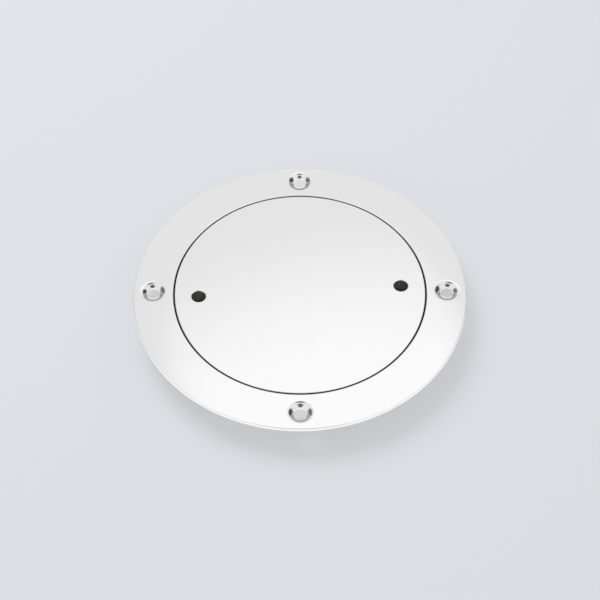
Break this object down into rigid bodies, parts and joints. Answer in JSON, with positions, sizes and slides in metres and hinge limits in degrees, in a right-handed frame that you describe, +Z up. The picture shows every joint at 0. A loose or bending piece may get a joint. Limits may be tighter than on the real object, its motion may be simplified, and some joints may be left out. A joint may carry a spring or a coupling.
{
  "type": "deck inspection plate",
  "caption": "Round flush deck plate: a flanged, threaded ring with countersunk screw holes, and a flat screw-in cover with key sockets.",
  "frame": {"origin": "centre of the screw circle on the flange's underside, which is the deck surface", "axes": "+Z up out of the deck along the thread axis, +X towards one screw hole"},
  "size_m": [0.13, 0.13, 0.0132],
  "materials": {
    "polished_stainless": "polished",
    "black_rubber": "matte"
  },
  "bodies": {
    "ring": {"deck_ring": "polished_stainless"},
    "seal": {"gasket": "black_rubber"},
    "lid": {"cover": "polished_stainless"}
  },
  "joints": [
    {"name": "lid_rise", "type": "slide", "parent": "ring", "child": "seal", "axis": [0, 0, 1], "range_m": [0, 0.012]},
    {"name": "lid_turn", "type": "hinge", "parent": "seal", "child": "lid", "pos_m": [0, 0, 0], "axis": [0, 0, 1], "range_deg": [0, 1080]}
  ],
  "couplings": [
    {"joint": "lid_rise", "follows": "lid_turn", "m_per_rad": 0.00063662}
  ]
}
